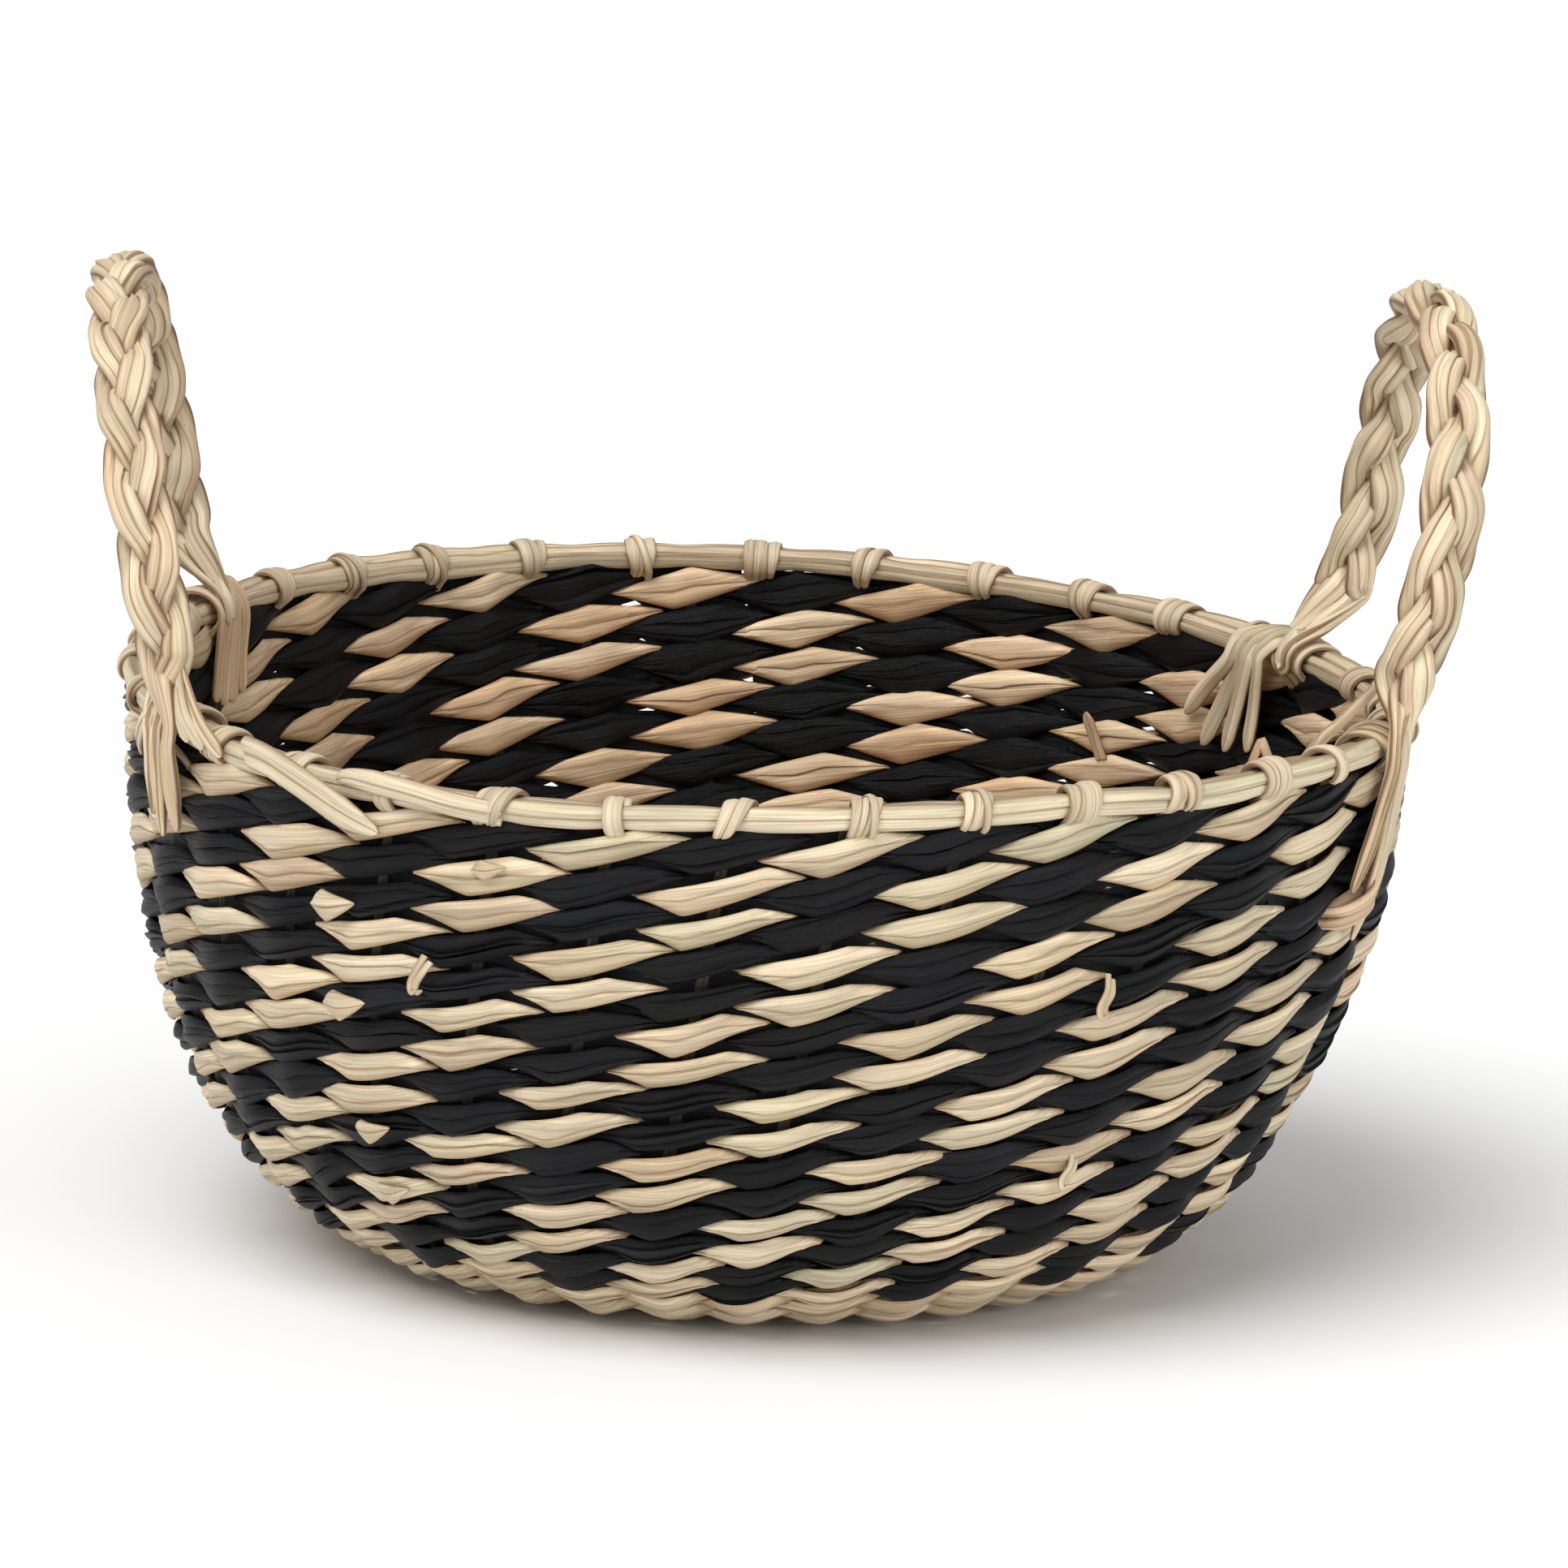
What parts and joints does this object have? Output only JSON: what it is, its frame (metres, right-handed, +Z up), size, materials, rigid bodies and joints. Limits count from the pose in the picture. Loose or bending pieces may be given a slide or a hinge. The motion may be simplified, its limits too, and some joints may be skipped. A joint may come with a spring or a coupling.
{
  "type": "woven market basket",
  "caption": "Round twined rush basket with a flat bottom, bowed wall, wrapped rim and upright plaited handles that bend in and out.",
  "frame": {"origin": "middle of the flat resting face", "axes": "+Z up, +X through the right handle, which with the left one lies within a few degrees of the X axis"},
  "size_m": [0.3778, 0.3494, 0.2731],
  "materials": {
    "dyed_rush": "matte, dyed plant fibre",
    "plain_rush": "satin, dried leaf",
    "binding_rush": "satin, dried leaf",
    "plait_rush": "satin, dried leaf"
  },
  "bodies": {
    "basket": {"course_01_dyed_strand": "dyed_rush", "course_01_plain_strand": "plain_rush", "course_02_dyed_strand": "dyed_rush", "course_02_plain_strand": "plain_rush", "course_03_dyed_strand": "dyed_rush", "course_03_plain_strand": "plain_rush", "course_04_dyed_strand": "dyed_rush", "course_04_plain_strand": "plain_rush", "course_05_dyed_strand": "dyed_rush", "course_05_plain_strand": "plain_rush", "course_06_dyed_strand": "dyed_rush", "course_06_plain_strand": "plain_rush", "course_07_dyed_strand": "dyed_rush", "course_07_plain_strand": "plain_rush", "course_08_dyed_strand": "dyed_rush", "course_08_plain_strand": "plain_rush", "course_09_dyed_strand": "dyed_rush", "course_09_plain_strand": "plain_rush", "course_10_dyed_strand": "dyed_rush", "course_10_plain_strand": "plain_rush", "course_11_dyed_strand": "dyed_rush", "course_11_plain_strand": "plain_rush", "course_12_dyed_strand": "dyed_rush", "course_12_plain_strand": "plain_rush", "course_13_dyed_strand": "dyed_rush", "course_13_plain_strand": "plain_rush", "course_14_dyed_strand": "dyed_rush", "course_14_plain_strand": "plain_rush", "course_15_dyed_strand": "dyed_rush", "course_15_plain_strand": "plain_rush", "course_16_plain_pair": "plain_rush", "course_17_plain_pair": "plain_rush", "bottom_round_7": "plain_rush", "bottom_round_6": "plain_rush", "bottom_round_5": "plain_rush", "bottom_round_4": "plain_rush", "bottom_round_3": "plain_rush", "bottom_round_2": "plain_rush", "bottom_round_1": "plain_rush", "bottom_cross_lower": "plain_rush", "bottom_cross_upper": "plain_rush", "stakes": "plain_rush", "rim_outer_strand": "plain_rush", "rim_inner_strand": "plain_rush", "rim_knots": "binding_rush", "rim_splice_end": "plain_rush", "leaf_ends": "plain_rush", "handle_right_foot_wraps": "binding_rush", "handle_left_foot_wraps": "binding_rush", "handle_right_outside_tail": "plait_rush", "handle_right_inside_tail": "plait_rush", "handle_left_outside_tail": "plait_rush", "handle_left_inside_tail": "plait_rush"},
    "handle_right": {"handle_right_strand_a": "plait_rush", "handle_right_strand_b": "plait_rush", "handle_right_strand_c": "plait_rush"},
    "handle_left": {"handle_left_strand_a": "plait_rush", "handle_left_strand_b": "plait_rush", "handle_left_strand_c": "plait_rush"}
  },
  "joints": [
    {"name": "handle_right_bend", "type": "hinge", "parent": "basket", "child": "handle_right", "pos_m": [0.16061, 0.01123, 0.164], "axis": [-0.0698, 0.9976, 0], "range_deg": [-60, 45], "stiffness_Nm_per_rad": 0.15},
    {"name": "handle_left_bend", "type": "hinge", "parent": "basket", "child": "handle_left", "pos_m": [-0.15835, -0.00691, 0.164], "axis": [0.0436, -0.999, 0], "range_deg": [-60, 45], "stiffness_Nm_per_rad": 0.15}
  ]
}
